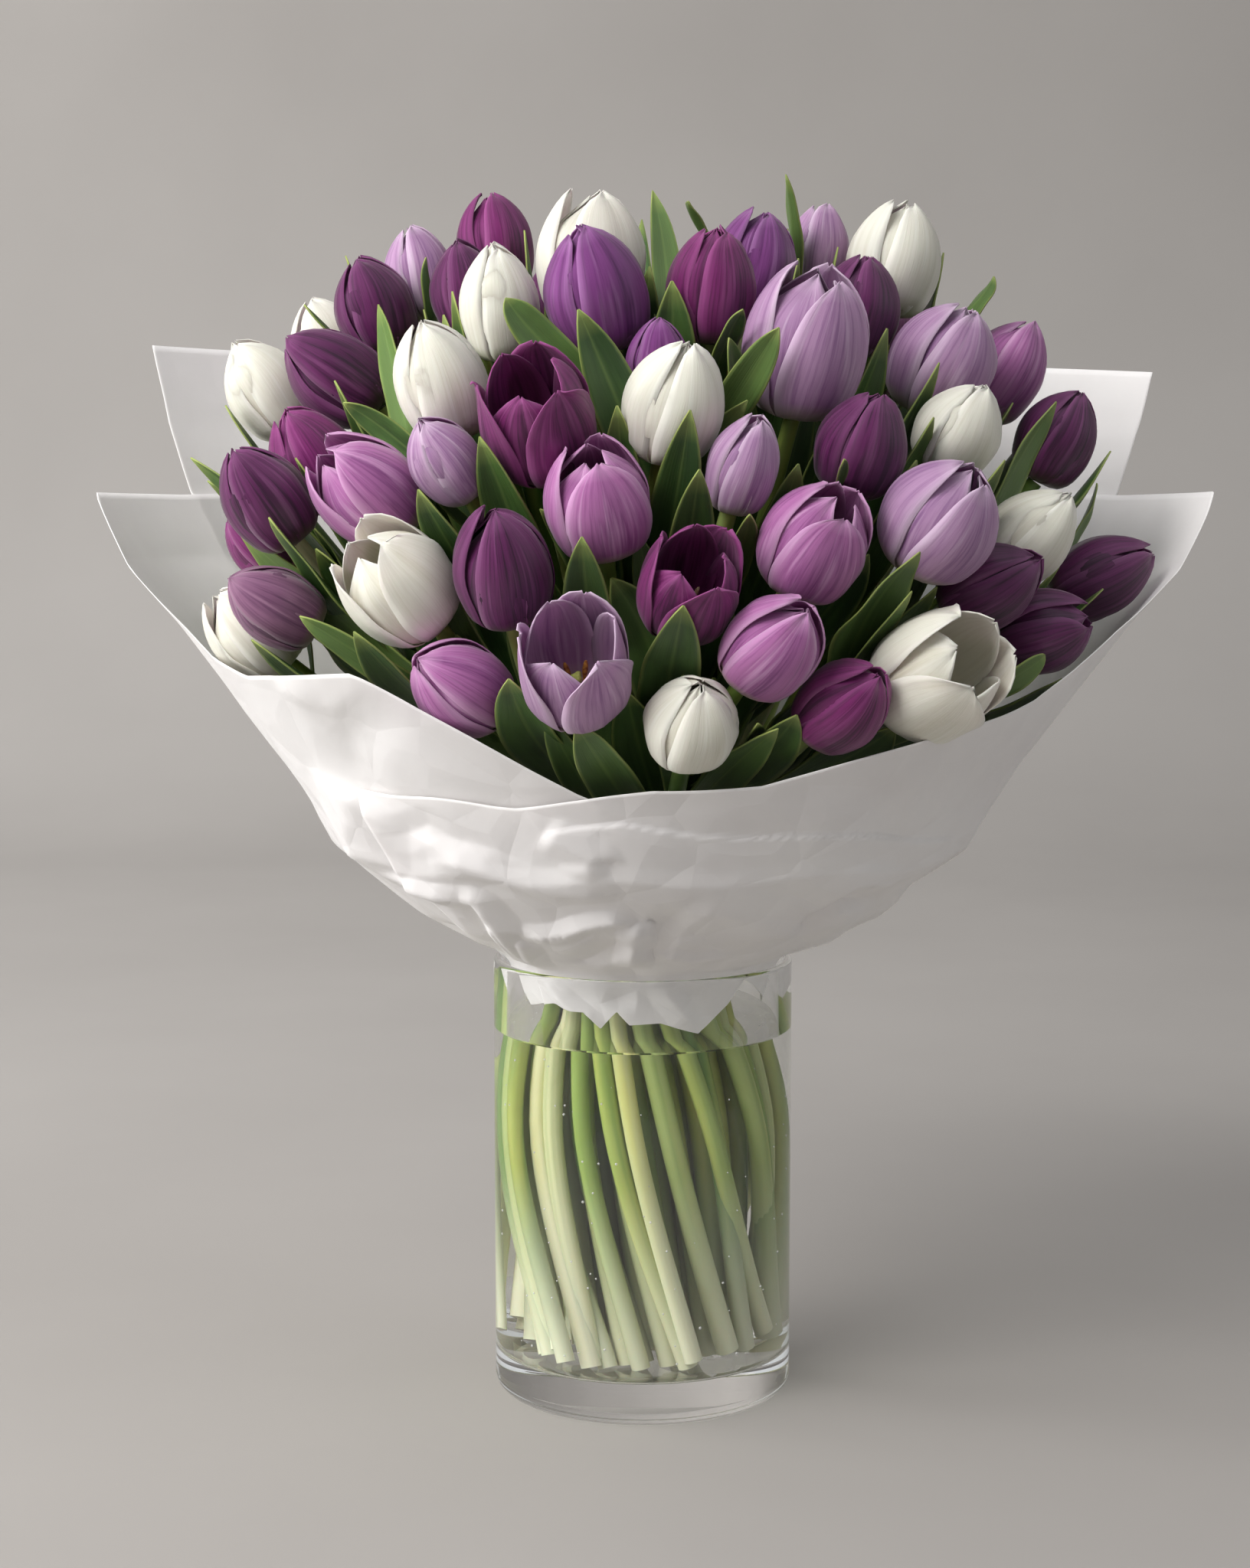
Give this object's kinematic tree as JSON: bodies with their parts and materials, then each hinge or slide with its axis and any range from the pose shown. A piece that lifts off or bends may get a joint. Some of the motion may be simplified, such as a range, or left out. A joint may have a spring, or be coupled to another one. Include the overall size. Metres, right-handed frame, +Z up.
{
  "type": "tulips in a vase",
  "caption": "Full bunch of white, lilac, orchid, violet and dark purple tulips in white florist's paper, standing in a clear glass cylinder vase of water.",
  "frame": {"origin": "centre of the vase's underside, on the surface that it stands on", "axes": "+Z up along the vase's axis, -Y towards the front of the bouquet, +X to the right seen from the front"},
  "size_m": [0.5138, 0.3662, 0.5675],
  "materials": {
    "vase_glass": "clear, polished",
    "water": "still, clear",
    "wrapping_paper": "matte, lightly creased",
    "stems_and_leaves": "waxy leaf and stem",
    "white_petals": "satin petal",
    "aubergine_petals": "satin petal",
    "wine_petals": "satin petal",
    "violet_petals": "satin petal",
    "orchid_petals": "satin petal",
    "lilac_petals": "satin petal",
    "mauve_petals": "satin petal"
  },
  "bodies": {
    "root": {"paper_back_sheet": "wrapping_paper", "paper_wrap": "wrapping_paper", "stems_and_leaves": "stems_and_leaves", "tulip_back_cluster_1": "lilac_petals", "tulip_back_cluster_2": "aubergine_petals", "tulip_back_cluster_3": "white_petals", "tulip_back_cluster_4": "orchid_petals", "tulip_centre": "white_petals", "tulip_centre_large": "lilac_petals", "tulip_centre_low": "orchid_petals", "tulip_centre_open": "wine_petals", "tulip_centre_small": "lilac_petals", "tulip_front_left": "orchid_petals", "tulip_front_left_dark": "aubergine_petals", "tulip_front_open_dark": "wine_petals", "tulip_front_open_pale": "lilac_petals", "tulip_front_orchid": "orchid_petals", "tulip_front_right": "wine_petals", "tulip_front_round": "white_petals", "tulip_left_front_open": "white_petals", "tulip_left_low": "mauve_petals", "tulip_left_low_back": "wine_petals", "tulip_left_middle": "aubergine_petals", "tulip_left_open": "orchid_petals", "tulip_left_small": "lilac_petals", "tulip_left_tall": "white_petals", "tulip_left_upper": "wine_petals", "tulip_left_white": "white_petals", "tulip_left_white_back": "white_petals", "tulip_leftmost": "white_petals", "tulip_right_big": "lilac_petals", "tulip_right_dark": "aubergine_petals", "tulip_right_front_open": "white_petals", "tulip_right_inner": "aubergine_petals", "tulip_right_low": "aubergine_petals", "tulip_right_low_open": "aubergine_petals", "tulip_right_orchid": "orchid_petals", "tulip_right_round": "white_petals", "tulip_right_slim": "white_petals", "tulip_right_top": "white_petals", "tulip_right_top_dark": "aubergine_petals", "tulip_right_top_small": "lilac_petals", "tulip_right_upper": "lilac_petals", "tulip_right_upper_back": "orchid_petals", "tulip_rightmost": "aubergine_petals", "tulip_top": "white_petals", "tulip_top_front": "violet_petals", "tulip_top_hidden": "violet_petals", "tulip_top_left": "aubergine_petals", "tulip_top_left_back": "wine_petals", "tulip_top_left_dark": "aubergine_petals", "tulip_top_left_pale": "lilac_petals", "tulip_top_left_slim": "white_petals", "tulip_top_right": "wine_petals", "tulip_top_right_back": "violet_petals", "tulip_upper_left": "aubergine_petals", "vase": "vase_glass", "water": "water"}
  },
  "joints": []
}
